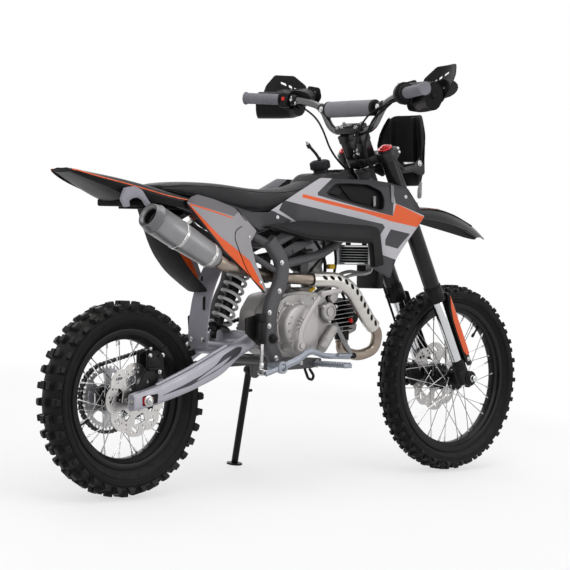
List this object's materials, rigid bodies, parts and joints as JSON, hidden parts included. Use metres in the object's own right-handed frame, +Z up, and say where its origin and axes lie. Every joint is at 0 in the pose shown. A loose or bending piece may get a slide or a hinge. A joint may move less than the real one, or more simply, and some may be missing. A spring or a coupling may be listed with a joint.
{
  "type": "pit_bike",
  "caption": "Off-road pit bike on its side stand: wire wheels with knobby tyres, long-travel fork, hand guards, a slim seat, grey and orange body panels and a small air-cooled engine.",
  "frame": {"origin": "centre of the bounding box, at the ground", "axes": "X forward along the wheelbase, Y to the rider's left, Z up; the bike leans 7 degrees to its left on its side stand"},
  "size_m": [1.852, 0.79, 1.2465],
  "materials": {
    "tyre_rubber": "moulded, slightly glossy",
    "rim_black": "black anodised",
    "hub_black": "satin black",
    "spoke_steel": "polished",
    "disc_steel": "brushed",
    "sprocket_silver": "satin",
    "chain_black": "oiled",
    "axle_steel": "turned",
    "frame_grey": "satin",
    "arm_grey": "silver grey",
    "spring_white": "gloss",
    "engine_silver": "cast, lightly peened",
    "cover_silver": "cast",
    "fin_black": "matt",
    "carb_grey": "cast",
    "pipe_steel": "heat stained",
    "muffler_aluminium": "satin",
    "seat_cover": "grained synthetic",
    "tank_black": "gloss",
    "cap_black": "ribbed",
    "shroud_grey": "silver grey with an orange edge",
    "panel_grey": "grey with an orange wedge",
    "duct_black": "satin",
    "fender_black": "gloss",
    "guard_black": "satin",
    "flap_grey": "matt",
    "cooler_silver": "finned",
    "box_black": "gloss",
    "caliper_black": "satin",
    "peg_grey": "blue grey",
    "pedal_grey": "forged",
    "lever_silver": "bright",
    "clamp_black": "anodised",
    "tube_black": "gloss",
    "leg_chrome": "polished with black feet",
    "bar_metal": "dark chrome",
    "pad_grey": "foam in a woven sleeve",
    "grip_rubber": "ribbed",
    "control_black": "satin",
    "stand_steel": "black"
  },
  "bodies": {
    "chassis": {"main_frame": "frame_grey", "frame_legs": "frame_grey", "frame_crosses": "frame_grey", "subframe": "frame_grey", "swingarm": "arm_grey", "rear_axle": "axle_steel", "shock_absorber": "spring_white", "engine_case": "engine_silver", "clutch_cover": "cover_silver", "cylinder": "fin_black", "carburettor": "carb_grey", "exhaust_header": "pipe_steel", "muffler": "muffler_aluminium", "seat": "seat_cover", "fuel_tank": "tank_black", "fuel_cap": "cap_black", "shrouds": "shroud_grey", "side_panels": "panel_grey", "shroud_ducts": "duct_black", "rear_fender": "fender_black", "mud_guard": "guard_black", "mud_flap": "flap_grey", "oil_cooler": "cooler_silver", "electrics_box": "box_black", "rear_caliper": "caliper_black", "footpegs": "peg_grey", "heel_guards": "guard_black", "brake_pedal": "pedal_grey", "gear_lever": "lever_silver", "kick_lever": "lever_silver", "chain": "chain_black"},
    "steering": {"triple_clamps": "clamp_black", "fork_tubes": "tube_black", "fork_legs": "leg_chrome", "fork_guards": "guard_black", "handlebar": "bar_metal", "bar_pad": "pad_grey", "bar_clamp": "clamp_black", "grips": "grip_rubber", "levers": "control_black", "hand_guards": "guard_black", "front_fender": "fender_black", "number_mask": "fender_black", "front_caliper": "caliper_black"},
    "front_wheel": {"front_tyre": "tyre_rubber", "front_rim": "rim_black", "front_hub": "hub_black", "front_spokes": "spoke_steel", "front_disc": "disc_steel"},
    "rear_wheel": {"rear_tyre": "tyre_rubber", "rear_rim": "rim_black", "rear_hub": "hub_black", "rear_spokes": "spoke_steel", "rear_disc": "disc_steel", "sprocket": "sprocket_silver"},
    "side_stand": {"side_stand": "stand_steel"}
  },
  "joints": [
    {"name": "steering_turn", "type": "hinge", "parent": "chassis", "child": "steering", "pos_m": [0.29304, -0.03858, 0.85845], "axis": [-0.454, 0.1086, 0.8844], "range_deg": [-36, 36]},
    {"name": "front_wheel_spin", "type": "hinge", "parent": "steering", "child": "front_wheel", "pos_m": [0.64, -0.10895, 0.28533], "axis": [0, 0.9925, -0.1219], "continuous": true},
    {"name": "rear_wheel_spin", "type": "hinge", "parent": "chassis", "child": "rear_wheel", "pos_m": [-0.658, -0.11114, 0.26746], "axis": [0, 0.9925, -0.1219], "continuous": true},
    {"name": "side_stand_fold", "type": "hinge", "parent": "chassis", "child": "side_stand", "pos_m": [-0.068, 0.03042, 0.30449], "axis": [0, 0.9796, 0.2011], "range_deg": [0, 108]}
  ]
}
